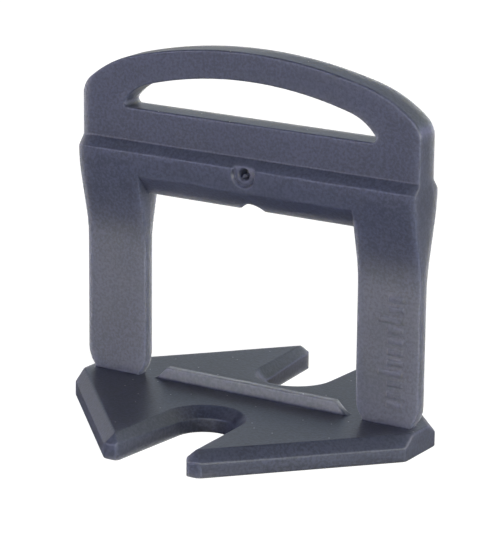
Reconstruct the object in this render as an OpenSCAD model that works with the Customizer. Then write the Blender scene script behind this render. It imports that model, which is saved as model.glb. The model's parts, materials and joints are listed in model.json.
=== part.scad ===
// Tile levelling clip, moulded in one piece.
// Two thin legs stand on a base plate that lies under the tiles. They carry a thick crossbar, which a
// wedge pushes up against, and a handle plate with a finger grip. After setting, the legs snap off at
// the feet. +Z is up, +X runs from leg to leg, -Y is the gate side. The origin is the middle of the
// underside of the base plate. All sizes are in millimetres.

/* [Legs] */
// Width over the two legs, which is also the width of the handle
clip_w = 36; // [30:0.5:44]
// Width of one leg
leg_w = 6.4; // [5:0.1:9]
// Thickness of the legs, which sets the tile joint
leg_t = 1; // [0.6:0.1:2]
// Radius of the rounded foot of each leg
foot_r = 2.9; // [1:0.1:3.2]
// Depth by which the rounded foot is buried in the base plate
foot_sink = 0.8; // [0.3:0.1:1.2]

/* [Crossbar] */
// Clear height between the base plate and the edge of the crossbar
gap_h = 17.95; // [14:0.05:24]
// Height of the crossbar above its lower edge
bar_h = 4.2; // [3.4:0.1:6]
// Thickness of the crossbar at its top
bar_t = 4.1; // [3.4:0.1:6]
// Angle of the two faces that meet in the lower edge of the crossbar, from the horizontal
vee_angle = 47; // [35:1:55]
// Length over which the crossbar tapers into the thin legs
taper_len = 9.5; // [8:0.1:12]
// Radius of the two bends of that taper
taper_r = 12.8; // [4:0.1:14]
// Width of the notch in the lower edge
notch_w = 2.6; // [1.5:0.1:4]
// Depth of that notch
notch_d = 0.68; // [0.3:0.02:0.74]
// Diameter of the gate recess in the front of the crossbar
gate_d = 2.4; // [1.6:0.1:3]
// Depth of the gate recess
gate_depth = 0.2; // [0.1:0.05:0.6]
// Diameter of the pit in the middle of the gate recess
gate_pit_d = 1; // [0.5:0.1:1.4]
// Depth of that pit below the floor of the recess
gate_pit_depth = 0.5; // [0.2:0.05:0.6]
// Distance of the gate recess below the top edge of the crossbar
gate_drop = 0.5; // [0.3:0.1:1]

/* [Handle] */
// Thickness of the handle plate
handle_t = 2.5; // [1.8:0.1:3.2]
// Height of the sloping shoulder between the crossbar and the handle plate
shoulder_h = 0.9; // [0.5:0.1:1.5]
// Height of the sill below the finger grip
sill_h = 3.1; // [2:0.1:5]
// Height of the finger grip in the middle
grip_h = 4; // [3.2:0.1:6]
// Height of the rail above the finger grip in the middle
rail_h = 2.65; // [2:0.05:4]
// Radius of the top of the handle
crown_r = 48; // [40:1:60]
// Radius of the two upper corners of the handle
corner_r = 2.2; // [1:0.1:3]
// Bearing at which the top of the handle starts to bend down
crown_end = 15; // [12:0.5:17]
// Bearing at which the bend of the handle runs into its corner
bend_end = 40; // [36:0.5:50]
// Narrowest width of the post beside the finger grip
post_w = 3.42; // [2.5:0.02:5]
// Radius of the top of the finger grip
grip_crown_r = 39.3; // [34:0.1:50]
// Radius of the ends of the finger grip
grip_end_r = 5.2; // [4.6:0.1:6]
// Radius of the two lower corners of the finger grip
grip_floor_r = 0.5; // [0.2:0.1:0.8]

/* [Base plate] */
// Thickness of the base plate
base_t = 2.3; // [1.8:0.1:3.5]
// Width and height of the chamfer round the base plate
base_chamfer = 1; // [0.4:0.1:1.4]
// Distance by which the base plate stands out past each leg
base_margin = 0.15; // [0:0.05:3]
// Depth of the base plate over the flats beside the mouths of the mortar slots
base_d = 33.3; // [29:0.1:34]
// Width of the flat at each end of the base plate
end_flat = 5.6; // [3:0.1:8]
// Angle between the four long sides and the X axis
side_angle = 47.2; // [44:0.1:50]
// Width of each mortar slot at its round end
slot_w = 5.84; // [4.4:0.02:7]
// Distance from the middle of the base plate to the middle of a slot's round end
slot_y = 8.2; // [7:0.1:10]
// Angle by which each wall of a mortar slot opens outwards
slot_flare = 4.7; // [0:0.1:8]
// Height of the ridge between the legs
ridge_h = 1.2; // [0.6:0.1:2]
// Thickness of the ridge
ridge_t = 0.8; // [0.4:0.1:1.2]
// Distance between the ridge and each leg
ridge_gap = 1.1; // [0.5:0.1:3]
// Length of the slope at each end of the ridge
ridge_slope = 1.3; // [0.5:0.1:3]

/* [Hidden] */
$fn = 96;
// Slate-grey plastic
plastic = [0.31, 0.33, 0.38];
// Overlap of joined solids and overrun of cuts
eps = 0.5;

// Heights, from the base plate upwards
base_edge_z = base_t - base_chamfer;
foot_z = base_t - foot_sink;
vee_z = base_t + gap_h;
bar_top = vee_z + bar_h;
shoulder_top = bar_top + shoulder_h;
grip_floor = shoulder_top + sill_h;
grip_top = grip_floor + grip_h;
clip_top = grip_top + rail_h;

// Legs and window
half_w = clip_w / 2;
window_w = clip_w - 2 * leg_w;
foot_bend = min(foot_r, leg_w / 2);

// Base plate outline: half width, reach of the long sides and their distance from the middle
base_half_w = half_w + base_margin;
base_reach = end_flat / 2 + base_half_w * tan(side_angle);
side_dist = base_reach * cos(side_angle);
slot_r = slot_w / 2;
ridge_half = window_w / 2 - ridge_gap;

// Bends of the taper: each bend ends at the slope angle, and the bends leave room for each other
taper_drop = (bar_t - leg_t) / 2;
bend_r = min(taper_r, 0.95 * (pow(taper_len, 2) + pow(taper_drop, 2)) / (4 * taper_drop));
bend_gap = [2 * bend_r - taper_drop, taper_len];
taper_slope = atan2(bend_gap.y, bend_gap.x) - acos(2 * bend_r / norm(bend_gap));
upper_bend = [bar_t / 2 - bend_r, bar_top];
lower_bend = [leg_t / 2 + bend_r, bar_top - taper_len];

// Radius of the notch, from its width and depth
notch_r = (pow(notch_w / 2, 2) + pow(notch_d, 2)) / (2 * notch_d);

// Point at a bearing round a centre, with the bearing measured from +Z towards the right
function at_bearing(center, r, bearing) = center + r * [sin(bearing), cos(bearing)];

// Closed symmetric outline from the points of its right side, listed upwards
function mirrored(right) = concat(
    right, [for (i = [len(right) - 1 : -1 : 0]) [-right[i].x, right[i].y]]
);

// Slice of a disc on both sides of the chord between two bearings
module arc_slice(center, r, from, to) {
    rise = r * (1 - cos((to - from) / 2));
    out = 1.5 * rise * [sin((from + to) / 2), cos((from + to) / 2)];
    a = at_bearing(center, r, from);
    b = at_bearing(center, r, to);
    intersection() {
        translate(center) circle(r);
        polygon([a - out, b - out, b + out, a + out]);
    }
}

// Draws a right half and its mirror image
module both_sides() {
    children();
    mirror([1, 0, 0]) children();
}

// Handle outline down to the crossbar: a three-centre arch over straight sides
module handle_outline() {
    run = half_w - corner_r * (1 - sin(bend_end)) - crown_r * sin(crown_end);
    side_r = run / (sin(bend_end) - sin(crown_end));
    crown = [0, clip_top - crown_r];
    side = at_bearing(crown, crown_r - side_r, crown_end);
    corner = at_bearing(side, side_r - corner_r, bend_end);
    polygon(mirrored([
        [half_w, vee_z], [half_w, corner.y], at_bearing(side, side_r, bend_end),
        at_bearing(side, side_r, crown_end)
    ]));
    both_sides() {
        arc_slice(side, side_r, crown_end, bend_end);
        arc_slice(corner, corner_r, bend_end, 90);
    }
    arc_slice(crown, crown_r, -crown_end, crown_end);
}

// Finger grip: a low arch over a flat sill
module grip_outline() {
    end_x = half_w - post_w - grip_end_r;
    crown = [0, grip_top - grip_crown_r];
    turn = asin(end_x / (grip_crown_r - grip_end_r));
    end = at_bearing(crown, grip_crown_r - grip_end_r, turn);
    floor_y = grip_floor + grip_floor_r;
    reach = sqrt(pow(grip_end_r - grip_floor_r, 2) - pow(floor_y - end.y, 2));
    low = [end.x + reach, floor_y];
    meet = atan2(low.x - end.x, low.y - end.y);
    polygon(mirrored([
        [low.x, grip_floor], low, at_bearing(end, grip_end_r, meet), at_bearing(end, grip_end_r, turn)
    ]));
    both_sides() {
        arc_slice(end, grip_end_r, turn, meet);
        translate(low) circle(grip_floor_r);
    }
    arc_slice(crown, grip_crown_r, -turn, turn);
}

// One leg seen from the front, with its rounded foot
module leg_outline() {
    polygon(mirrored([
        [leg_w / 2 - foot_bend, foot_z], [leg_w / 2, foot_z + foot_bend], [leg_w / 2, bar_top]
    ]));
    both_sides() arc_slice([leg_w / 2 - foot_bend, foot_z + foot_bend], foot_bend, 90, 180);
}

// Legs, crossbar and handle seen from the front
module front_outline() {
    both_sides() translate([half_w - leg_w / 2, 0]) leg_outline();
    difference() {
        handle_outline();
        grip_outline();
    }
}

// Thickness of the legs, the taper, the crossbar and the handle seen from the side
module side_outline() {
    difference() {
        polygon(mirrored([
            [leg_t / 2, foot_z], lower_bend - [bend_r, 0],
            at_bearing(lower_bend, bend_r, taper_slope - 90),
            at_bearing(upper_bend, bend_r, taper_slope + 90), [bar_t / 2, bar_top],
            [handle_t / 2, shoulder_top], [handle_t / 2, clip_top + eps]
        ]));
        both_sides() arc_slice(lower_bend, bend_r, -90, taper_slope - 90);
    }
    both_sides() arc_slice(upper_bend, bend_r, 90, taper_slope + 90);
}

// Cut that leaves the lower edge of the crossbar, between the legs
module vee_cut() {
    rise = bar_t * tan(vee_angle);
    rotate([90, 0, 90]) linear_extrude(window_w, center = true) polygon([
        [0, vee_z], [bar_t, vee_z + rise], [bar_t, vee_z - eps], [-bar_t, vee_z - eps],
        [-bar_t, vee_z + rise]
    ]);
}

// Round cut from the front of the crossbar to a depth below its widest face
module gate_cut(d, depth) {
    translate([0, depth - bar_t / 2, bar_top - gate_drop])
        rotate([90, 0, 0]) cylinder(d = d, h = bar_t);
}

module clip_frame() {
    difference() {
        intersection() {
            rotate([90, 0, 0]) linear_extrude(bar_t + eps, center = true) front_outline();
            rotate([90, 0, 90]) linear_extrude(clip_w + eps, center = true) side_outline();
        }
        vee_cut();
        translate([0, 0, vee_z + notch_d - notch_r])
            rotate([90, 0, 0]) cylinder(r = notch_r, h = bar_t + eps, center = true);
        gate_cut(gate_d, gate_depth);
        gate_cut(gate_pit_d, gate_depth + gate_pit_depth);
    }
}

// Bar through the base plate along Y, with a chamfered top and a given half width
module chamfered_bar(half) {
    rotate([90, 0, 0]) linear_extrude(4 * base_reach, center = true) polygon([
        [-half, 0], [half, 0], [half, base_edge_z], [half - base_chamfer, base_t],
        [base_chamfer - half, base_t], [-half, base_edge_z]
    ]);
}

// Mortar slot on the -Y side: round inner end, walls that open outwards, chamfer along its top
module mortar_slot() {
    start = slot_r * [cos(slot_flare), sin(slot_flare)];
    mouth = start + base_reach * [sin(slot_flare), -cos(slot_flare)];
    translate([0, -slot_y, 0]) {
        translate([0, 0, -eps]) linear_extrude(base_t + 2 * eps) {
            circle(slot_r);
            polygon([start, mouth, [-mouth.x, mouth.y], [-start.x, start.y]]);
        }
        translate([0, 0, base_edge_z - eps]) cylinder(
            r1 = slot_r - eps, r2 = slot_r + base_chamfer + eps, h = base_chamfer + 2 * eps
        );
        both_sides() rotate([90, 0, slot_flare]) linear_extrude(base_reach) polygon([
            [slot_r - eps, base_edge_z - eps], [slot_r + base_chamfer + eps, base_t + eps],
            [slot_r - eps, base_t + eps]
        ]);
    }
}

module base_plate() {
    difference() {
        intersection() {
            chamfered_bar(base_half_w);
            rotate([0, 0, 90]) chamfered_bar(base_d / 2);
            rotate([0, 0, 90 - side_angle]) chamfered_bar(side_dist);
            rotate([0, 0, side_angle - 90]) chamfered_bar(side_dist);
        }
        for (turn = [0, 180]) rotate([0, 0, turn]) mortar_slot();
    }
}

// Low ridge across the base plate, with sloping ends
module ridge() {
    rotate([90, 0, 0]) linear_extrude(ridge_t, center = true) polygon([
        [-ridge_half, base_t - eps], [ridge_half, base_t - eps], [ridge_half, base_t],
        [ridge_half - ridge_slope, base_t + ridge_h], [ridge_slope - ridge_half, base_t + ridge_h],
        [-ridge_half, base_t]
    ]);
}

module clip() {
    color(plastic) {
        clip_frame();
        base_plate();
        ridge();
    }
}

clip();
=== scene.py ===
"""Looks of a moulded tile levelling clip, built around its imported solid.

The clip is one plastic moulding. Its visible skin is worked out from distance fields, so that every
moulded edge gets its small radius, and that skin stands for the solid. Sizes are in millimetres until a
mesh is made.
"""

import json
import logging
import math
from dataclasses import dataclass, field
from enum import Enum
from typing import Any, Sequence

import bmesh
import bpy
import numpy as np
from mathutils import Matrix, Vector

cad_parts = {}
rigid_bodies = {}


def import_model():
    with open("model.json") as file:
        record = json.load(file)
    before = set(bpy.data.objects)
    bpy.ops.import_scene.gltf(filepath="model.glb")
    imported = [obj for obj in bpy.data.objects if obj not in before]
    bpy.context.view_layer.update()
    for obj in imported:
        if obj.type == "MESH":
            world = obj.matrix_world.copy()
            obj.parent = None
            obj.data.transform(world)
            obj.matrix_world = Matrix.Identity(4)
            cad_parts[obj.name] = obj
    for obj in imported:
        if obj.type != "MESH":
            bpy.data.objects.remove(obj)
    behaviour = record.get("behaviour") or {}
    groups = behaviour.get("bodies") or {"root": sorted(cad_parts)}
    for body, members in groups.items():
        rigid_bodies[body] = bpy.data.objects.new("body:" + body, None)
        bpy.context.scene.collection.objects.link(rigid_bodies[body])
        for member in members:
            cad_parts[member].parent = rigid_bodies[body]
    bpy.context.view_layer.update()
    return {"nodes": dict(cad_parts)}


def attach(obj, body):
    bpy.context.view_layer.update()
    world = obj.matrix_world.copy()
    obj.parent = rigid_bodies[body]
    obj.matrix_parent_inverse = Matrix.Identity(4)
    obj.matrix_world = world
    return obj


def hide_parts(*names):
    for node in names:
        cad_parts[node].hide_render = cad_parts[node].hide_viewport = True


for startup_object in list(bpy.data.objects):
    bpy.data.objects.remove(startup_object)
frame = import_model()

log = logging.getLogger("clip")

Array = np.ndarray
Point = tuple[float, float]

MM = 0.001
NODE = "clip"
BODY = "root"

ARC_CHORD = 0.2
ARC_STEPS = 3
CORNER_STEPS = 6
CELL_CORNERS = 8


# Distance fields


def rounded_cut(a: Array, b: Array, r: float, turn: float = 90.0) -> Array:
    """Keeps what lies in both fields and rounds the edge between them.

    Args:
        a: First signed distance, negative inside.
        b: Second signed distance.
        r: Radius of the edge.
        turn: Angle in degrees by which the surface turns at the edge.

    Returns:
        The signed distance of the common part.
    """
    lean = math.cos(math.radians(turn))
    u = a + r
    v = b + r
    bend = np.sqrt(np.maximum(u * u + v * v - 2 * lean * u * v, 0) / (1 - lean * lean)) - r
    return np.where((u > lean * v) & (v > lean * u), bend, np.maximum(a, b))


def filleted_join(a: Array, b: Array, r: float) -> Array:
    """Joins two fields and fills the corner between them.

    Args:
        a: First signed distance, negative inside.
        b: Second signed distance.
        r: Radius of the fillet.

    Returns:
        The signed distance of the two together.
    """
    return -rounded_cut(-a, -b, r)


def outline_distance(points: Array, u: Array, v: Array) -> Array:
    """Signed distance from a closed outline on a grid of two axes.

    Args:
        points: Corners of the outline, in order.
        u: Samples of the first axis.
        v: Samples of the second axis.

    Returns:
        One distance per pair of samples, negative inside.
    """
    nearest = np.full((len(u), len(v)), np.inf)
    inside = np.zeros((len(u), len(v)), bool)
    for start, end in zip(points, np.roll(points, -1, axis=0)):
        edge = end - start
        du = u[:, None] - start[0]
        dv = v[None, :] - start[1]
        along = np.clip((du * edge[0] + dv * edge[1]) / (edge @ edge), 0, 1)
        nearest = np.minimum(nearest, (du - along * edge[0]) ** 2 + (dv - along * edge[1]) ** 2)
        if edge[1]:
            spans = (start[1] <= v) != (end[1] <= v)
            inside ^= spans[None, :] & (du < dv * edge[0] / edge[1])
    return np.where(inside, -1, 1) * np.sqrt(nearest)


# Outlines


def at_bearing(center: Point, r: float, bearing: float) -> Point:
    """Point on a circle, with the bearing in degrees from the second axis towards the first."""
    turn = math.radians(bearing)
    return center[0] + r * math.sin(turn), center[1] + r * math.cos(turn)


def arc(center: Point, r: float, start: float, end: float, chord: float = ARC_CHORD) -> list[Point]:
    """Points along an arc.

    Args:
        center: Centre of the arc.
        r: Its radius.
        start: First bearing in degrees.
        end: Last bearing in degrees.
        chord: Longest step between two points.

    Returns:
        The points, both ends included.
    """
    count = max(ARC_STEPS, math.ceil(math.radians(abs(end - start)) * r / chord))
    return [at_bearing(center, r, start + (end - start) * i / count) for i in range(count + 1)]


def rounded_corner(before: Point, corner: Point, after: Point, r: float) -> list[Point]:
    """Replaces a corner by an arc that is tangent to both of its sides.

    Args:
        before: The point before the corner.
        corner: The corner.
        after: The point after the corner.
        r: Radius of the arc.

    Returns:
        The points of the arc.
    """
    at = np.array(corner)
    back = np.array(before) - at
    ahead = np.array(after) - at
    back /= np.linalg.norm(back)
    ahead /= np.linalg.norm(ahead)
    half = math.acos(float(np.clip(back @ ahead, -1, 1))) / 2
    middle = (back + ahead) / np.linalg.norm(back + ahead)
    center = at + middle * r / math.sin(half)
    first = at + back * r / math.tan(half) - center
    last = at + ahead * r / math.tan(half) - center
    points = []
    for i in range(CORNER_STEPS + 1):
        way = first * (1 - i / CORNER_STEPS) + last * i / CORNER_STEPS
        spot = center + way * r / np.linalg.norm(way)
        points.append((float(spot[0]), float(spot[1])))
    return points


def rounded_outline(corners: Sequence[tuple[Point, float]]) -> Array:
    """Closed outline from corners, each with the radius that rounds it.

    Args:
        corners: Corners in order, each with its radius, or 0 for a plain point.

    Returns:
        The points of the outline.
    """
    points: list[Point] = []
    for i, (corner, r) in enumerate(corners):
        if r:
            after = corners[(i + 1) % len(corners)][0]
            points += rounded_corner(corners[i - 1][0], corner, after, r)
        else:
            points.append(corner)
    return np.array(points)


def mirrored(right: Sequence[tuple[Point, float]]) -> list[tuple[Point, float]]:
    """Closes a right side, listed upwards, with its mirror image."""
    return list(right) + [((-spot[0], spot[1]), r) for spot, r in reversed(right)]


def plain(points: Sequence[Point]) -> list[tuple[Point, float]]:
    """Gives points no corner radius."""
    return [(spot, 0.0) for spot in points]


@dataclass(frozen=True)
class Grid:
    """Even sample points round the clip."""

    low: tuple[float, float, float]
    high: tuple[float, float, float]
    step: float = 0.13
    margin: float = 0.6
    shift: float = 0.37

    def axis(self, index: int) -> Array:
        """Samples of one axis, shifted so that no flat face falls on a sample."""
        first = self.low[index] - self.margin - self.shift * self.step
        return np.arange(first, self.high[index] + self.margin, self.step)

    def span(self, index: int, low: float, high: float) -> slice:
        """Samples of one axis between two values."""
        samples = self.axis(index)
        return slice(int(np.searchsorted(samples, low)), int(np.searchsorted(samples, high)))


# Shape


@dataclass(frozen=True)
class BasePlate:
    """Slotted base plate that lies under the tiles, with the ridge between the legs."""

    width: float = 36.3
    depth: float = 33.3
    height: float = 2.3
    chamfer: float = 1.0
    # The surface turns by this angle at each edge of the chamfer.
    chamfer_turn: float = 45.0
    end_flat: float = 5.6
    side_angle: float = 47.2
    slot_r: float = 2.92
    slot_y: float = 8.2
    slot_flare: float = 4.7
    # The tips stand a little further out and up than on the solid, and their chamfer is steeper.
    tip_reach: float = 16.95
    tip_run: float = 0.6
    tip_rise: float = 0.1
    # The top edges of the slots open less than their walls, and run on past the tips.
    point_reach: float = 18.0
    bank_flare: float = 3.0
    # Radii of the moulded edges.
    mouth_r: float = 0.4
    tip_r: float = 1.0
    rim_r: float = 0.1
    edge_r: float = 0.15
    end_edge_r: float = 0.2
    # The ridge between the legs.
    ridge_half: float = 10.5
    ridge_h: float = 1.2
    ridge_t: float = 0.8
    ridge_slope: float = 1.3
    ridge_edge_r: float = 0.12

    def outline(self, reach: float, flare: float, mouth_r: float = 0.0, tip_r: float = 0.0) -> Array:
        """Outline of the plate from above, with both mortar slots.

        The long sides run on past the ends, where they meet in a point.

        Args:
            reach: Distance of the tips from the middle.
            flare: Angle in degrees by which each side of a slot opens.
            mouth_r: Radius where a slot meets a tip.
            tip_r: Radius where a long side meets a tip.

        Returns:
            The points of the outline.
        """
        slope = math.tan(math.radians(self.side_angle))
        point_x = self.width / 2 + self.end_flat / 2 / slope
        flat_x = point_x - reach / slope
        start = at_bearing((0, self.slot_y), self.slot_r, 90 + flare)
        mouth_x = start[0] + (reach - start[1]) * math.tan(math.radians(flare))
        slot = arc((0, self.slot_y), self.slot_r, 180, 90 + flare)
        upper = plain(slot) + [((mouth_x, reach), mouth_r), ((flat_x, reach), tip_r)]
        lower = [((spot[0], -spot[1]), r) for spot, r in reversed(upper)]
        right = upper + [((point_x, 0.0), 0.0)] + lower
        left = [((-spot[0], spot[1]), r) for spot, r in reversed(right)]
        return rounded_outline(right[:-1] + left[:-1])

    def plate(self, x: Array, y: Array, z: Array) -> Array:
        """Field of the plate, open below.

        A chamfer runs along the sides and the slots and is steeper on the tips. The ends are upright.

        Args:
            x: Samples across the clip.
            y: Samples through it.
            z: Samples upwards.

        Returns:
            Signed distance, negative in the plate.
        """
        wall = self.outline(self.tip_reach, self.slot_flare, self.mouth_r, self.tip_r)
        rim = outline_distance(wall, x, y)[:, :, None]
        bank = outline_distance(self.outline(self.point_reach, self.bank_flare), x, y)[:, :, None]
        level = z[None, None, :] - self.tip_rise * (y[None, :, None] / self.tip_reach) ** 2
        rise = level - (self.height - self.chamfer)
        past = np.abs(y)[None, :, None] - self.tip_reach
        steep = (past * self.chamfer + rise * self.tip_run) / math.hypot(self.chamfer, self.tip_run)
        body = rounded_cut(rim, (bank + rise) / math.sqrt(2), self.rim_r, self.chamfer_turn)
        body = rounded_cut(body, steep, self.rim_r, self.chamfer_turn)
        body = rounded_cut(body, level - self.height, self.edge_r, self.chamfer_turn)
        ends = np.abs(x)[:, None, None] - self.width / 2
        return rounded_cut(body, ends, self.end_edge_r)

    def ridge(self, x: Array, y: Array, z: Array) -> Array:
        """Field of the low ridge with its sloping ends, which starts halfway down in the plate.

        Args:
            x: Samples across the clip.
            y: Samples through it.
            z: Samples upwards.

        Returns:
            Signed distance, negative in the ridge.
        """
        top = self.height + self.ridge_h
        side = rounded_outline(mirrored([
            ((self.ridge_half, self.height / 2), 0.0),
            ((self.ridge_half, self.height), 0.0),
            ((self.ridge_half - self.ridge_slope, top), 2 * self.ridge_edge_r),
        ]))
        face = outline_distance(side, x, z)[:, None, :]
        return rounded_cut(face, np.abs(y)[None, :, None] - self.ridge_t / 2, self.ridge_edge_r)


@dataclass(frozen=True)
class Frame:
    """Legs, crossbar and handle: a front outline with a thickness that changes with height."""

    width: float = 36.0
    top: float = 35.05
    leg_w: float = 6.4
    leg_t: float = 1.0
    foot_z: float = 1.5
    foot_r: float = 2.9
    vee_z: float = 20.29
    vee_angle: float = 47.0
    bar_top: float = 24.45
    bar_t: float = 4.1
    taper_len: float = 9.5
    taper_r: float = 12.8
    taper_chord: float = 0.4
    notch_w: float = 2.6
    notch_d: float = 0.68
    shoulder_top: float = 25.35
    handle_t: float = 2.5
    grip_floor: float = 28.45
    grip_top: float = 32.57
    crown_r: float = 48.0
    crown_end: float = 15.0
    bend_end: float = 40.0
    corner_r: float = 2.2
    post_w: float = 3.42
    grip_crown_r: float = 39.3
    grip_end_r: float = 5.2
    grip_floor_r: float = 0.5
    # The gate lies a little to the right of the middle.
    gate_r: float = 1.18
    gate_x: float = 0.18
    gate_z: float = 23.98
    gate_depth: float = 0.22
    gate_line: float = 0.12
    gate_line_depth: float = 0.36
    pit_r: float = 0.54
    pit_depth: float = 1.6
    stub_r: float = 0.2
    stub_depth: float = 0.4
    # Radii of the moulded edges, to which the growth adds.
    edge_r: float = 0.04
    brow_r: float = 0.05
    shoulder_r: float = 0.25
    vee_r: float = 0.08
    bevel_r: float = 0.3
    gate_edge_r: float = 0.08
    # Ticks of a plain scale, counted in millimetres above the base plate.
    tick_zero: float = 2.3
    tick_first: int = 2
    tick_last: int = 12
    tick_group: int = 5
    tick_right: float = 16.3
    tick_long: float = 2.3
    tick_short: float = 1.4
    tick_w: float = 0.3
    tick_h: float = 0.1
    # The skin is grown by this much, so that its rounded edges reach the outline of the solid.
    growth: float = 0.1
    # Outlines run on by this much past the faces that end them.
    overlap: float = 1.0

    @property
    def reach(self) -> float:
        """Largest distance from the middle plane."""
        return self.bar_t / 2 + self.growth

    def handle_outline(self) -> Array:
        """Three-centre arch over straight sides, down past the edge of the crossbar.

        Returns:
            The points of the outline.
        """
        half_w = self.width / 2
        low = self.vee_z - self.overlap
        bend = math.sin(math.radians(self.bend_end))
        crown_turn = math.sin(math.radians(self.crown_end))
        side_span = half_w - self.corner_r * (1 - bend) - self.crown_r * crown_turn
        side_r = side_span / (bend - crown_turn)
        crown = (0.0, self.top - self.crown_r)
        side = at_bearing(crown, self.crown_r - side_r, self.crown_end)
        corner = at_bearing(side, side_r - self.corner_r, self.bend_end)
        right = [(half_w, low)]
        right += arc(corner, self.corner_r, 90, self.bend_end)
        right += arc(side, side_r, self.bend_end, self.crown_end)[1:]
        right += arc(crown, self.crown_r, self.crown_end, 0)[1:-1]
        return rounded_outline(mirrored(plain(right)))

    def grip_outline(self) -> Array:
        """Finger grip: a low arch over a flat sill.

        Returns:
            The points of the outline.
        """
        end_x = self.width / 2 - self.post_w - self.grip_end_r
        crown = (0.0, self.grip_top - self.grip_crown_r)
        turn = math.degrees(math.asin(end_x / (self.grip_crown_r - self.grip_end_r)))
        end = at_bearing(crown, self.grip_crown_r - self.grip_end_r, turn)
        low_y = self.grip_floor + self.grip_floor_r
        low_x = end[0] + math.sqrt((self.grip_end_r - self.grip_floor_r) ** 2 - (low_y - end[1]) ** 2)
        meet = math.degrees(math.atan2(low_x - end[0], low_y - end[1]))
        right = arc((low_x, low_y), self.grip_floor_r, 180, meet)
        right += arc(end, self.grip_end_r, meet, turn)[1:]
        right += arc(crown, self.grip_crown_r, turn, 0)[1:-1]
        return rounded_outline(mirrored(plain(right)))

    def leg_outline(self) -> Array:
        """Right leg from the front, with its rounded foot.

        Returns:
            The points of the outline.
        """
        outer = self.width / 2
        inner = outer - self.leg_w
        return rounded_outline([
            ((inner, self.bar_top), 0.0),
            ((inner, self.foot_z), self.foot_r),
            ((outer, self.foot_z), self.foot_r),
            ((outer, self.bar_top), 0.0),
        ])

    def side_outline(self) -> Array:
        """Thickness of the legs, the taper, the crossbar and the handle, from the side.

        Returns:
            The points of the outline.
        """
        drop = (self.bar_t - self.leg_t) / 2
        r = self.taper_r
        reach = math.hypot(2 * r - drop, self.taper_len)
        slope = math.degrees(math.atan2(self.taper_len, 2 * r - drop) - math.acos(2 * r / reach))
        leg_center = (self.leg_t / 2 + r, self.bar_top - self.taper_len)
        bar_center = (self.bar_t / 2 - r, self.bar_top)
        lower = arc(leg_center, r, -90, slope - 90, self.taper_chord)
        upper = arc(bar_center, r, slope + 90, 90, self.taper_chord)
        return rounded_outline(mirrored(
            plain([(self.leg_t / 2, self.foot_z - self.overlap)] + lower + upper[:-1])
            + [
                ((self.bar_t / 2, self.bar_top), self.brow_r),
                ((self.handle_t / 2, self.shoulder_top), self.shoulder_r),
                ((self.handle_t / 2, self.top + self.overlap), 0.0),
            ]
        ))

    def gate(self, x: Array, y: Array, z: Array) -> Array:
        """Field of the gate recess in the front of the crossbar.

        A line runs round its floor, and in its middle is a pit with a torn stub.

        Args:
            x: Samples across the clip.
            y: Samples through it.
            z: Samples upwards.

        Returns:
            Signed distance, negative in the recess.
        """
        out = np.hypot(x[:, None, None] - self.gate_x, z[None, None, :] - self.gate_z) - self.growth
        depth = y[None, :, None] + self.bar_t / 2
        recess = np.maximum(out - self.gate_r, depth - self.gate_depth)
        line = np.maximum(out - self.gate_r, self.gate_r - self.gate_line - 2 * self.growth - out)
        line = np.maximum(line, depth - self.gate_line_depth)
        line = np.maximum(line, z[None, None, :] - self.bar_top)
        pit = np.maximum(out - self.pit_r, depth - self.pit_depth)
        across = x[:, None, None] - (self.gate_x - self.stub_r / 2)
        stub = np.hypot(across, z[None, None, :] - (self.gate_z - self.stub_r)) - self.stub_r + self.growth
        pit = np.maximum(pit, -np.maximum(stub, self.stub_depth - depth))
        return np.minimum(np.minimum(recess, line), pit)

    def scale(self, x: Array, y: Array, z: Array) -> Array:
        """Field of the raised scale on the right leg, with a longer tick in each group.

        Args:
            x: Samples across the clip.
            y: Samples through it.
            z: Samples upwards.

        Returns:
            Signed distance, negative in the ticks.
        """
        ticks = np.full((len(x), len(z)), np.inf)
        for count in range(self.tick_first, self.tick_last + 1):
            half = (self.tick_short if count % self.tick_group else self.tick_long) / 2
            across = np.abs(x - (self.tick_right - half))[:, None] - half
            up = np.abs(z - (self.tick_zero + count))[None, :] - self.tick_w / 2
            ticks = np.minimum(ticks, np.maximum(across, up))
        front = np.maximum(y, -y - self.leg_t / 2 - self.tick_h)[None, :, None]
        return np.maximum(ticks[:, None, :], front)

    def field(self, x: Array, y: Array, z: Array) -> Array:
        """Field of the whole frame, grown so that its rounded edges reach the outline of the solid.

        Args:
            x: Samples across the clip.
            y: Samples through it.
            z: Samples upwards.

        Returns:
            Signed distance on the grid of the three axes.
        """
        side = outline_distance(self.side_outline(), y, z)[None, :, :]
        plate = outline_distance(self.handle_outline(), x, z)
        plate = np.maximum(plate, -outline_distance(self.grip_outline(), x, z))
        turn = math.radians(self.vee_angle)
        rise = (z[None, :] - self.vee_z) * math.cos(turn)
        run = y[:, None] * math.sin(turn)
        vee = rounded_cut(run - rise, -run - rise, self.vee_r)[None, :, :]
        bar = rounded_cut(plate[:, None, :], side, self.edge_r)
        bar = rounded_cut(bar, vee, self.bevel_r, 90 - self.vee_angle)
        notch_r = ((self.notch_w / 2) ** 2 + self.notch_d ** 2) / (2 * self.notch_d)
        notch = np.hypot(x[:, None], z[None, :] - (self.vee_z + self.notch_d - notch_r)) - notch_r
        bar = rounded_cut(bar, -notch[:, None, :], self.vee_r)
        bar = rounded_cut(bar, -self.gate(x, y, z), self.gate_edge_r)
        leg = outline_distance(self.leg_outline(), np.abs(x), z)[:, None, :]
        legs = np.minimum(rounded_cut(leg, side, self.edge_r), self.scale(x, y, z))
        return np.minimum(bar, legs) - self.growth


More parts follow.
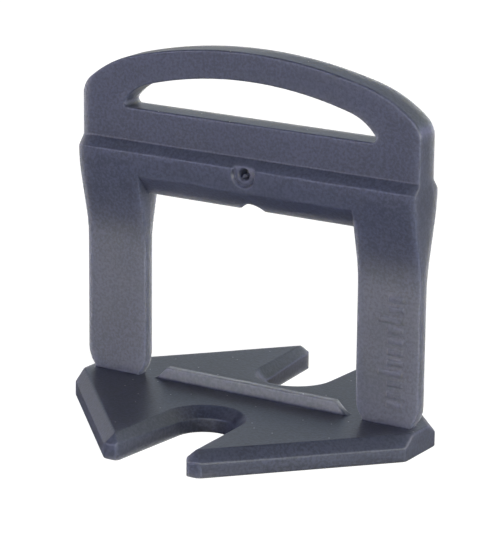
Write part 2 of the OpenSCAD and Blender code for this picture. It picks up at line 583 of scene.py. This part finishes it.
@dataclass(frozen=True)
class Skin:
    """Turns a sampled field into a mesh: one point per crossed cell, one quad per crossed grid edge."""

    values: Array
    axes: tuple[Array, Array, Array]
    tile: int = 20

    def sample(self, points: Array) -> Array:
        """Field at any points, blended between the eight samples round each.

        Args:
            points: One row of three millimetre values per point.

        Returns:
            One value per point.
        """
        step = self.axes[0][1] - self.axes[0][0]
        place = (points - np.array([axis[0] for axis in self.axes])) / step
        cell = np.clip(place.astype(int), 0, np.array(self.values.shape) - 2)
        share = place - cell
        total = np.zeros(len(points))
        for corner in np.ndindex(2, 2, 2):
            weight = np.prod(np.where(corner, share, 1 - share), axis=1)
            spot = cell + corner
            total += weight * self.values[spot[:, 0], spot[:, 1], spot[:, 2]]
        return total

    def slopes(self, points: Array) -> Array:
        """Outward directions of the field at any points.

        Args:
            points: One row of three millimetre values per point.

        Returns:
            One unit vector per point.
        """
        step = self.axes[0][1] - self.axes[0][0]
        ways = np.eye(3) * step / 2
        rises = [self.sample(points + way) - self.sample(points - way) for way in ways]
        slopes = np.stack(rises, axis=1)
        return slopes / np.linalg.norm(slopes, axis=1, keepdims=True)

    def points(self, cells: Array) -> Array:
        """Middle of the places where the surface crosses the edges of each cell.

        Args:
            cells: Three whole numbers per cell.

        Returns:
            One point per cell, in millimetres.
        """
        step = self.axes[0][1] - self.axes[0][0]
        total = np.zeros((len(cells), 3))
        count = np.zeros(len(cells))
        for way in range(3):
            for corner in np.ndindex(2, 2):
                start = np.insert(np.array(corner), way, 0)
                end = np.insert(np.array(corner), way, 1)
                low = self.values[tuple((cells + start).T)]
                high = self.values[tuple((cells + end).T)]
                crossed = (low < 0) != (high < 0)
                share = np.where(crossed, low / np.where(crossed, low - high, 1), 0)
                total += crossed[:, None] * (start + share[:, None] * (end - start))
                count += crossed
        first = np.array([axis[0] for axis in self.axes])
        return first + step * (cells + total / count[:, None])

    def quads(self, index: Array) -> Array:
        """Quads round every crossed grid edge, facing outwards.

        Args:
            index: Number of the point in each cell, or -1.

        Returns:
            Four point numbers per quad.
        """
        inside = self.values < 0
        found = []
        for way in range(3):
            one, two = [axis for axis in range(3) if axis != way]
            low = np.moveaxis(inside, (way, one, two), (0, 1, 2))
            number = np.moveaxis(index, (way, one, two), (0, 1, 2))
            change = low[:-1, 1:-1, 1:-1] != low[1:, 1:-1, 1:-1]
            a, b, c = np.nonzero(change)
            near = [number[a, b, c], number[a, b + 1, c]]
            away = [number[a, b + 1, c + 1], number[a, b, c + 1]]
            ring = np.stack(near + away)
            leaving = low[a, b + 1, c + 1] ^ (way == 1)
            found.append(np.where(leaving, ring, ring[::-1]).T)
        return np.concatenate(found)

    def mesh(self, name: str, flat_angle: float) -> bpy.types.Mesh:
        """Builds the mesh in metres, cut off flat below.

        Flat faces are merged, and the shading is taken from the field.

        Args:
            name: Name of the mesh.
            flat_angle: Faces that turn less than this many degrees are merged.

        Returns:
            The mesh.
        """
        inside = self.values < 0
        count = np.zeros(np.array(inside.shape) - 1, np.int8)
        for i, j, k in np.ndindex(2, 2, 2):
            count += inside[i:i + count.shape[0], j:j + count.shape[1], k:k + count.shape[2]]
        active = (count > 0) & (count < CELL_CORNERS)
        index = np.full(active.shape, -1, np.int32)
        index[active] = np.arange(np.count_nonzero(active))
        cells = np.argwhere(active)
        quads = self.quads(index)
        mesh = bpy.data.meshes.new(name)
        mesh.from_pydata(self.points(cells) * MM, [], quads)
        # Blocks of cells are numbered for a while, so that merged flat faces end at their borders.
        tiles = (cells[quads[:, 0]] // self.tile % 2) @ np.array([1, 2, 4])
        mesh.polygons.foreach_set("material_index", tiles.astype(np.int32))
        work = bmesh.new()
        work.from_mesh(mesh)
        cut = bmesh.ops.bisect_plane(
            work, geom=work.verts[:] + work.edges[:] + work.faces[:],
            plane_co=(0, 0, 0), plane_no=(0, 0, -1), clear_outer=True,
        )
        rim = [edge for edge in cut["geom_cut"] if isinstance(edge, bmesh.types.BMEdge)]
        bmesh.ops.edgeloop_fill(work, edges=rim)
        bmesh.ops.dissolve_limit(
            work, angle_limit=math.radians(flat_angle), verts=work.verts, edges=work.edges,
            delimit={"MATERIAL"},
        )
        work.to_mesh(mesh)
        work.free()
        mesh.polygons.foreach_set("material_index", np.zeros(len(mesh.polygons), np.int32))
        mesh.polygons.foreach_set("use_smooth", np.ones(len(mesh.polygons), bool))
        kept = np.empty(3 * len(mesh.vertices))
        mesh.vertices.foreach_get("co", kept)
        corners = np.empty(len(mesh.loops), np.int32)
        mesh.loops.foreach_get("vertex_index", corners)
        normals = self.slopes(kept.reshape(-1, 3) / MM)[corners]
        underside = min(mesh.polygons, key=lambda face: face.center.z)
        if underside.normal.z > 0:
            underside.flip()
        normals[list(underside.loop_indices)] = (0, 0, -1)
        mesh.normals_split_custom_set(normals)
        return mesh


@dataclass
class Clip:
    """The whole moulding."""

    base: BasePlate = field(default_factory=BasePlate)
    frame: Frame = field(default_factory=Frame)
    foot_fillet: float = 0.15
    ridge_fillet: float = 0.2
    # Value of the field away from the frame.
    far: float = 1.0
    flat_angle: float = 0.12

    def skin(self) -> Skin:
        """Samples the fields of the base plate, the ridge and the frame on one grid.

        Returns:
            The skin over all of them.
        """
        half_w = self.base.width / 2
        half_d = self.base.depth / 2
        grid = Grid((-half_w, -half_d, 0.0), (half_w, half_d, self.frame.top))
        x, y, z = (grid.axis(i) for i in range(3))
        values = np.full((len(x), len(y), len(z)), self.far)
        slab = grid.span(1, -self.frame.reach - grid.margin, self.frame.reach + grid.margin)
        values[:, slab, :] = np.minimum(self.far, self.frame.field(x, y[slab], z))
        low = grid.span(2, -grid.margin - grid.step, self.base.height + self.base.ridge_h + grid.margin)
        plate = filleted_join(
            self.base.plate(x, y, z[low]), self.base.ridge(x, y, z[low]), self.ridge_fillet
        )
        values[:, :, low] = filleted_join(values[:, :, low], plate, self.foot_fillet)
        return Skin(values, (x, y, z))

    def build(self, plastic: bpy.types.Material) -> bpy.types.Object:
        """Builds the moulding in its plastic, to stand for the solid.

        Args:
            plastic: The material that it is moulded in.

        Returns:
            The moulding.
        """
        name = "clip_moulding"
        piece = bpy.data.objects.new(name, self.skin().mesh(name, self.flat_angle))
        piece.data.materials.append(plastic)
        bpy.context.scene.collection.objects.link(piece)
        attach(piece, BODY)
        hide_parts(NODE)
        return piece


# Finishes


def linear(hex_color: str) -> tuple[float, float, float, float]:
    """Turns an sRGB hex colour into linear values.

    Args:
        hex_color: Six hex digits after a hash.

    Returns:
        Red, green, blue and an alpha of 1.
    """
    parts = [int(hex_color[i:i + 2], 16) / 255 for i in (1, 3, 5)]
    red, green, blue = [c / 12.92 if c <= 0.04045 else ((c + 0.055) / 1.055) ** 2.4 for c in parts]
    return red, green, blue, 1.0


def per_metre(size_mm: float) -> float:
    """Pattern scale that gives features of a size in millimetres."""
    return 1 / (size_mm * MM)


def add_node(
    tree: bpy.types.NodeTree,
    kind: str,
    settings: dict[str, Any] | None = None,
    links: dict[str, bpy.types.NodeSocket] | None = None,
) -> bpy.types.Node:
    """Adds a node with its settings and links.

    Args:
        tree: The tree that gets the node.
        kind: The node's type.
        settings: Values of properties, and constants of input sockets by identifier.
        links: Outputs that feed input sockets, by identifier.

    Returns:
        The node.
    """
    node = tree.nodes.new(kind)
    sockets: dict[str, bpy.types.NodeSocket] = {}
    for entry in node.inputs:
        sockets[entry.identifier] = entry
    for name, value in (settings or {}).items():
        if name in sockets:
            sockets[name].default_value = value
        else:
            setattr(node, name, value)
    for name, output in (links or {}).items():
        tree.links.new(output, sockets[name])
    return node


@dataclass(frozen=True)
class MouldedPolypropylene:
    """Polypropylene, injection moulded in a spark-eroded tool.

    The eye sees a satin sheen and a fine even grain. Light seeps through, so thin legs look paler and
    warmer than the thick crossbar. A little dust lies on the faces that look up.
    """

    name: str = "moulded_polypropylene"
    deep: str = "#373c4e"
    pale: str = "#464b61"
    speck: str = "#b4b7c0"
    roughness: float = 0.35
    ior: float = 1.49
    # Light travels about a twelfth of this depth before it turns.
    glow_depth_mm: float = 7.3
    glow_tint: tuple[float, float, float] = (1.0, 0.96, 0.84)
    # The grain is drawn about twice as coarse as it is, so that it shows.
    grain_mm: float = 0.28
    grain_depth_mm: float = 0.02
    grain_detail: float = 2.0
    grain_fineness: float = 0.6
    grain_low: float = 0.4
    grain_high: float = 0.6
    cloud_mm: float = 5.0
    cloud_detail: float = 3.0
    cloud_share: float = 0.2
    # Radius of a speck of dust, the distance between specks, and how level a face is that holds them.
    speck_mm: float = 0.07
    speck_every_mm: float = 3.6
    speck_level: float = 0.9

    def material(self) -> bpy.types.Material:
        """Builds the material.

        Returns:
            The material, with its grain, its dust and the light that seeps through.
        """
        material = bpy.data.materials.new(self.name)
        material.use_nodes = True
        tree = material.node_tree
        tree.nodes.clear()
        place = add_node(tree, "ShaderNodeTexCoord").outputs["Object"]
        grain = add_node(
            tree, "ShaderNodeTexNoise",
            {
                "Scale": per_metre(self.grain_mm), "Detail": self.grain_detail,
                "Roughness": self.grain_fineness,
            },
            {"Vector": place},
        )
        clouds = add_node(
            tree, "ShaderNodeTexNoise",
            {"Scale": per_metre(self.cloud_mm), "Detail": self.cloud_detail}, {"Vector": place},
        )
        mottle = add_node(
            tree, "ShaderNodeMix", {"data_type": "FLOAT", "Factor_Float": self.cloud_share},
            {"A_Float": grain.outputs["Fac"], "B_Float": clouds.outputs["Fac"]},
        )
        share = add_node(
            tree, "ShaderNodeMapRange", {"From Min": self.grain_low, "From Max": self.grain_high},
            {"Value": mottle.outputs["Result"]},
        )
        color = add_node(
            tree, "ShaderNodeMix",
            {"data_type": "RGBA", "A_Color": linear(self.deep), "B_Color": linear(self.pale)},
            {"Factor_Float": share.outputs["Result"]},
        )
        nearest = add_node(
            tree, "ShaderNodeTexVoronoi",
            {"voronoi_dimensions": "2D", "Scale": per_metre(self.speck_every_mm)}, {"Vector": place},
        )
        dust = add_node(
            tree, "ShaderNodeMath",
            {"operation": "LESS_THAN", "Value_001": self.speck_mm / self.speck_every_mm},
            {"Value": nearest.outputs["Distance"]},
        )
        normal = add_node(tree, "ShaderNodeNewGeometry").outputs["Normal"]
        facing = add_node(tree, "ShaderNodeSeparateXYZ", links={"Vector": normal})
        upward = add_node(
            tree, "ShaderNodeMath", {"operation": "GREATER_THAN", "Value_001": self.speck_level},
            {"Value": facing.outputs["Z"]},
        )
        lying = add_node(
            tree, "ShaderNodeMath", {"operation": "MULTIPLY"},
            {"Value": dust.outputs["Value"], "Value_001": upward.outputs["Value"]},
        )
        dusty = add_node(
            tree, "ShaderNodeMix", {"data_type": "RGBA", "B_Color": linear(self.speck)},
            {"Factor_Float": lying.outputs["Value"], "A_Color": color.outputs["Result"]},
        )
        bump = add_node(
            tree, "ShaderNodeBump", {"Strength": 1.0, "Distance": self.grain_depth_mm * MM},
            {"Height": grain.outputs["Fac"]},
        )
        shader = add_node(
            tree, "ShaderNodeBsdfPrincipled",
            {
                "Roughness": self.roughness, "IOR": self.ior, "Subsurface Weight": 1.0,
                "Subsurface Radius": self.glow_tint, "Subsurface Scale": self.glow_depth_mm * MM,
            },
            {"Base Color": dusty.outputs["Result"], "Normal": bump.outputs["Normal"]},
        )
        add_node(tree, "ShaderNodeOutputMaterial", links={"Surface": shader.outputs["BSDF"]})
        return material


# Studio


@dataclass(frozen=True)
class Camera:
    """Camera at the photograph's viewing angle."""

    azimuth: float = 31.70
    elevation: float = 14.757
    distance: float = 276.457
    target: tuple[float, float, float] = (0.0, 0.0, 18.0)
    aim_azimuth: float = 31.748
    aim_pitch: float = 15.553
    roll: float = 0.611
    focal_px: float = 2994.66
    frame_px: float = 550.0
    sensor: float = 36.0
    near: float = 10.0

    def build(self) -> bpy.types.Object:
        """Places the camera and makes it the scene's own.

        Returns:
            The camera.
        """
        around = math.radians(self.azimuth)
        above = math.radians(self.elevation)
        offset = Vector((
            math.sin(around) * math.cos(above), -math.cos(around) * math.cos(above), math.sin(above)
        ))
        place = (Vector(self.target) + self.distance * offset) * MM
        turn = math.radians(self.aim_azimuth)
        pitch = math.radians(self.aim_pitch)
        ahead = Vector((
            -math.sin(turn) * math.cos(pitch), math.cos(turn) * math.cos(pitch), -math.sin(pitch)
        ))
        right = Vector((math.cos(turn), math.sin(turn), 0))
        up = right.cross(ahead)
        roll = math.radians(self.roll)
        side = right * math.cos(roll) + up * math.sin(roll)
        head = up * math.cos(roll) - right * math.sin(roll)
        data = bpy.data.cameras.new("camera")
        data.sensor_width = self.sensor
        data.lens = self.focal_px / self.frame_px * self.sensor
        data.clip_start = self.near * MM
        camera = bpy.data.objects.new("camera", data)
        aim = Matrix((side, head, -ahead)).transposed().to_4x4()
        camera.matrix_world = Matrix.Translation(place) @ aim
        bpy.context.scene.collection.objects.link(camera)
        bpy.context.scene.camera = camera
        return camera


class Panel(Enum):
    """Glowing wall panels of the light tent round the clip."""

    FRONT = "front"
    RIGHT = "right"
    RIGHT_REAR = "right_rear"
    REAR = "rear"
    LEFT_REAR = "left_rear"
    LEFT = "left"
    UPPER_RIGHT_REAR = "upper_right_rear"
    UPPER_REAR = "upper_rear"
    HIGH_RIGHT = "high_right"
    HIGH_REAR = "high_rear"
    HIGH_LEFT = "high_left"


@dataclass(frozen=True)
class PanelLight:
    """One panel as the clip sees it, in degrees round from the front and above the floor."""

    panel: Panel
    bearing: float
    width: float
    low: float
    high: float
    brightness: float
    tint: str = "#ffffff"


@dataclass(frozen=True)
class Studio:
    """White paper floor inside a light tent whose lower walls glow and whose ceiling is dark."""

    floor_half: float = 900.0
    floor_gap: float = 0.02
    paper: str = "#f2f2f2"
    white: str = "#ffffff"
    # To the camera the paper has a glow of this strength, which makes up this share of what it sees.
    floor_glow: float = 1.27
    keep_white: float = 0.8
    # The paper under the slots has a painted glow, strongest right under them, which stands for white
    # paper seen through the slots throwing light on their walls.
    painted_slot_glow: float = 0.31
    slot_y: float = 12.5
    slot_near: float = 4.5
    slot_far: float = 7.5
    panel_softness: float = 5.0
    panels: tuple[PanelLight, ...] = (
        PanelLight(Panel.FRONT, 31.7, 60.0, 0.0, 12.0, 10.1, "#fffef3"),
        PanelLight(Panel.RIGHT, 91.7, 60.0, 0.0, 12.0, 12.6, "#fffbe6"),
        PanelLight(Panel.RIGHT_REAR, 151.7, 60.0, 0.0, 12.0, 2.9, "#d0cdff"),
        PanelLight(Panel.REAR, -148.3, 60.0, 0.0, 12.0, 0.9),
        PanelLight(Panel.LEFT_REAR, -88.3, 60.0, 0.0, 12.0, 1.5, "#f3f5ff"),
        PanelLight(Panel.LEFT, -28.3, 60.0, 0.0, 12.0, 6.6, "#e8e3ff"),
        PanelLight(Panel.UPPER_RIGHT_REAR, 151.7, 60.0, 12.0, 32.0, 0.7, "#e4fbf0"),
        PanelLight(Panel.UPPER_REAR, -148.3, 60.0, 12.0, 32.0, 0.76, "#dfeeff"),
        PanelLight(Panel.HIGH_RIGHT, 121.7, 90.0, 32.0, 60.0, 0.55, "#fff0b5"),
        PanelLight(Panel.HIGH_REAR, 178.0, 40.0, 28.0, 42.0, 0.4),
        PanelLight(Panel.HIGH_LEFT, -58.3, 90.0, 32.0, 60.0, 0.3),
    )

    def floor(self) -> None:
        """Lays the floor of matt white paper, which shows white to the camera, throws light back, and
        glows with painted light under the slots.
        """
        half = self.floor_half * MM
        level = -self.floor_gap * MM
        corners = [(x, y, level) for x, y in ((-half, -half), (half, -half), (half, half), (-half, half))]
        mesh = bpy.data.meshes.new("floor")
        mesh.from_pydata(corners, [], [(0, 1, 2, 3)])
        floor = bpy.data.objects.new("floor", mesh)
        bpy.context.scene.collection.objects.link(floor)
        material = bpy.data.materials.new("white_paper_sweep")
        material.use_nodes = True
        tree = material.node_tree
        tree.nodes.clear()
        paper = add_node(tree, "ShaderNodeBsdfDiffuse", {"Color": linear(self.paper)})
        place = add_node(tree, "ShaderNodeTexCoord").outputs["Object"]
        folded = add_node(tree, "ShaderNodeVectorMath", {"operation": "ABSOLUTE"}, {"Vector": place})
        slot = (0.0, self.slot_y * MM, 0.0)
        away = add_node(
            tree, "ShaderNodeVectorMath", {"operation": "DISTANCE", "Vector_001": slot},
            {"Vector": folded.outputs["Vector"]},
        )
        under = add_node(
            tree, "ShaderNodeMapRange",
            {
                "interpolation_type": "SMOOTHSTEP", "From Min": self.slot_near * MM,
                "From Max": self.slot_far * MM, "To Min": self.painted_slot_glow, "To Max": 0.0,
            },
            {"Value": away.outputs["Value"]},
        )
        white = linear(self.white)
        # Painted glow of the paper under the slots, which lights their walls.
        lit = add_node(
            tree, "ShaderNodeEmission", {"Color": white}, {"Strength": under.outputs["Result"]}
        )
        sheet = add_node(
            tree, "ShaderNodeAddShader",
            links={"Shader": paper.outputs["BSDF"], "Shader_001": lit.outputs["Emission"]},
        )
        glow = add_node(tree, "ShaderNodeEmission", {"Color": white, "Strength": self.floor_glow})
        ray = add_node(tree, "ShaderNodeLightPath")
        share = add_node(
            tree, "ShaderNodeMath", {"operation": "MULTIPLY", "Value_001": self.keep_white},
            {"Value": ray.outputs["Is Camera Ray"]},
        )
        mix = add_node(tree, "ShaderNodeMixShader", links={
            "Fac": share.outputs["Value"], "Shader": sheet.outputs["Shader"],
            "Shader_001": glow.outputs["Emission"],
        })
        add_node(tree, "ShaderNodeOutputMaterial", links={"Surface": mix.outputs["Shader"]})
        mesh.materials.append(material)

    def panel_glow(
        self, tree: bpy.types.NodeTree, light: PanelLight, bearing: bpy.types.NodeSocket,
        height: bpy.types.NodeSocket,
    ) -> bpy.types.NodeSocket:
        """Adds the glow of one panel to the world.

        Args:
            tree: The world's nodes.
            light: The panel.
            bearing: Bearing of a ray in radians.
            height: Sine of its elevation.

        Returns:
            The light along the ray.
        """
        soft = self.panel_softness
        off = add_node(
            tree, "ShaderNodeMath", {"operation": "SUBTRACT", "Value_001": math.radians(light.bearing)},
            {"Value": bearing},
        )
        turn = add_node(
            tree, "ShaderNodeMath", {"operation": "WRAP", "Value_001": math.pi, "Value_002": -math.pi},
            {"Value": off.outputs["Value"]},
        )
        aside = add_node(
            tree, "ShaderNodeMath", {"operation": "ABSOLUTE"}, {"Value": turn.outputs["Value"]}
        )
        glow = add_node(
            tree, "ShaderNodeMapRange",
            {
                "interpolation_type": "SMOOTHSTEP",
                "From Min": math.radians(light.width / 2 - soft),
                "From Max": math.radians(light.width / 2 + soft),
                "To Min": light.brightness, "To Max": 0.0,
            },
            {"Value": aside.outputs["Value"]},
        ).outputs["Result"]
        for edge, below, above in ((light.low, 0.0, 1.0), (light.high, 1.0, 0.0)):
            share = add_node(
                tree, "ShaderNodeMapRange",
                {
                    "interpolation_type": "SMOOTHSTEP",
                    "From Min": math.sin(math.radians(edge - soft / 2)),
                    "From Max": math.sin(math.radians(edge + soft / 2)),
                    "To Min": below, "To Max": above,
                },
                {"Value": height},
            )
            glow = add_node(
                tree, "ShaderNodeMath", {"operation": "MULTIPLY"},
                {"Value": glow, "Value_001": share.outputs["Result"]},
            ).outputs["Value"]
        tint = linear(light.tint)[:3]
        return add_node(
            tree, "ShaderNodeVectorMath",
            {"operation": "SCALE", "Vector": tint, "label": light.panel.value}, {"Scale": glow},
        ).outputs["Vector"]

    def tent(self) -> None:
        """Surrounds the clip with the panels, and shows plain white to the camera alone.

        The satin plastic mirrors the panels and the dark ceiling, and there is no metal or glass.
        """
        world = bpy.data.worlds.new("light_tent")
        bpy.context.scene.world = world
        world.use_nodes = True
        tree = world.node_tree
        tree.nodes.clear()
        way = add_node(tree, "ShaderNodeTexCoord").outputs["Generated"]
        parts = add_node(tree, "ShaderNodeSeparateXYZ", links={"Vector": way})
        front = add_node(
            tree, "ShaderNodeMath", {"operation": "MULTIPLY", "Value_001": -1.0},
            {"Value": parts.outputs["Y"]},
        )
        bearing = add_node(
            tree, "ShaderNodeMath", {"operation": "ARCTAN2"},
            {"Value": parts.outputs["X"], "Value_001": front.outputs["Value"]},
        ).outputs["Value"]
        total = None
        for light in self.panels:
            glow = self.panel_glow(tree, light, bearing, parts.outputs["Z"])
            if total is not None:
                glow = add_node(
                    tree, "ShaderNodeVectorMath", {"operation": "ADD"},
                    {"Vector": total, "Vector_001": glow},
                ).outputs["Vector"]
            total = glow
        walls = add_node(tree, "ShaderNodeBackground", {"Strength": 1.0}, {"Color": total})
        white = linear(self.white)
        flat = add_node(tree, "ShaderNodeBackground", {"Color": white, "Strength": 1.0})
        ray = add_node(tree, "ShaderNodeLightPath")
        mix = add_node(tree, "ShaderNodeMixShader", links={
            "Fac": ray.outputs["Is Camera Ray"], "Shader": walls.outputs["Background"],
            "Shader_001": flat.outputs["Background"],
        })
        add_node(tree, "ShaderNodeOutputWorld", links={"Surface": mix.outputs["Shader"]})

    def build(self) -> None:
        """Builds the floor and the light."""
        self.floor()
        self.tent()
        bpy.context.scene.view_settings.view_transform = "Standard"


def main() -> None:
    """Builds the clip and the studio."""
    logging.basicConfig(level=logging.INFO)
    plastic = MouldedPolypropylene().material()
    moulding = Clip().build(plastic)
    log.info("%s: %d faces", moulding.name, len(moulding.data.polygons))
    Camera().build()
    Studio().build()


if __name__ == "__main__":
    main()
